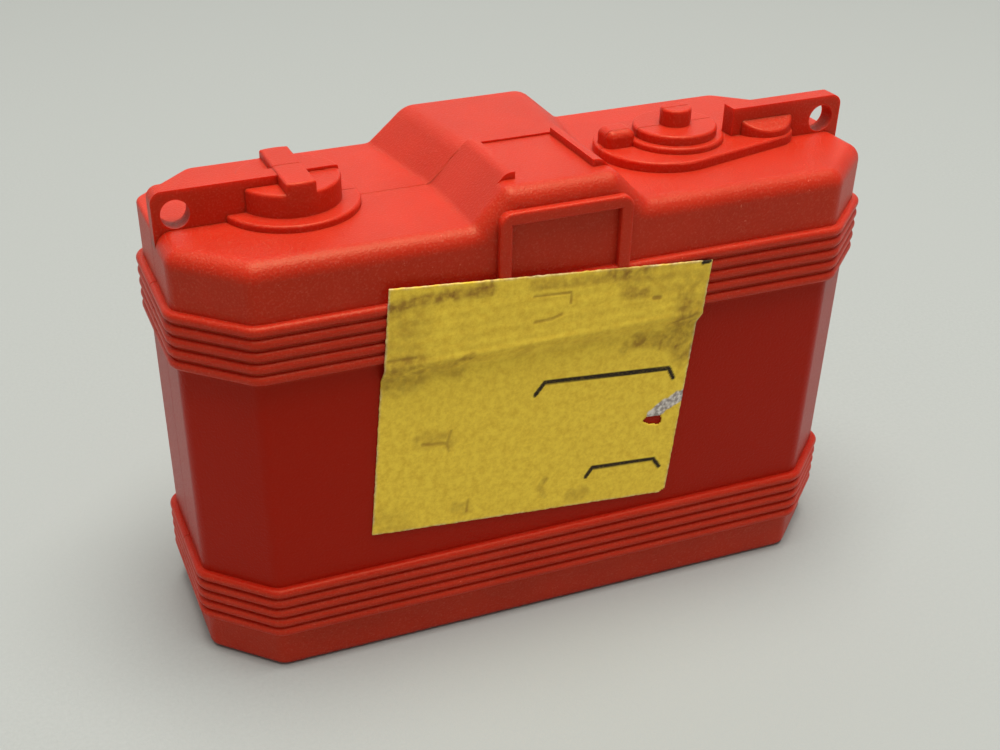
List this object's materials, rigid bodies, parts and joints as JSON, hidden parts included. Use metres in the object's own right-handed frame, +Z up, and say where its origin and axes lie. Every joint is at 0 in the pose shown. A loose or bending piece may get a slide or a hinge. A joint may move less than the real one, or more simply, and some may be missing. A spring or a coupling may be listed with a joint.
{
  "type": "camera-shaped game case",
  "caption": "Small moulded case shaped like a film camera that opens like a book on an end hinge onto peg-hole panels with stowed pegs and small ships for a guessing game.",
  "frame": {"origin": "middle of the base's width, on the seam plane between the half shells, at the height of the base", "axes": "+X to the right as seen from the rear face, +Y from the rear face to the front lens, +Z up"},
  "size_m": [0.0605, 0.0264, 0.0397],
  "materials": {
    "red_plastic": "matte",
    "steel": "satin",
    "panel_plastic": "satin",
    "hit_plastic": "gloss",
    "miss_plastic": "gloss",
    "label_paper": "matte",
    "ship_plastic": "satin"
  },
  "bodies": {
    "rear_case": {"rear_shell": "red_plastic", "left_strap_lug": "red_plastic", "right_strap_lug": "red_plastic", "hinge_pin": "steel", "ocean_panel": "panel_plastic", "price_label": "label_paper"},
    "front_case": {"front_shell": "red_plastic", "target_panel": "panel_plastic", "hit_pegs": "hit_plastic", "miss_pegs": "miss_plastic"},
    "carrier_body": {"carrier": "ship_plastic"},
    "cruiser_body": {"cruiser": "ship_plastic"},
    "frigate_body": {"frigate": "ship_plastic"},
    "submarine_body": {"submarine": "ship_plastic"},
    "patrol_boat_body": {"patrol_boat": "ship_plastic"}
  },
  "joints": [
    {"name": "case_hinge", "type": "hinge", "parent": "rear_case", "child": "front_case", "pos_m": [0.02985, 0, 0.0177], "axis": [0, 0, -1], "range_deg": [0, 180]},
    {"name": "carrier_lift", "type": "slide", "parent": "rear_case", "child": "carrier_body", "axis": [0, 1, 0], "range_m": [0, 0.0015]},
    {"name": "cruiser_lift", "type": "slide", "parent": "rear_case", "child": "cruiser_body", "axis": [0, 1, 0], "range_m": [0, 0.0015]},
    {"name": "frigate_lift", "type": "slide", "parent": "rear_case", "child": "frigate_body", "axis": [0, 1, 0], "range_m": [0, 0.0015]},
    {"name": "submarine_lift", "type": "slide", "parent": "rear_case", "child": "submarine_body", "axis": [0, 1, 0], "range_m": [0, 0.0015]},
    {"name": "patrol_boat_lift", "type": "slide", "parent": "rear_case", "child": "patrol_boat_body", "axis": [0, 1, 0], "range_m": [0, 0.0015]}
  ]
}
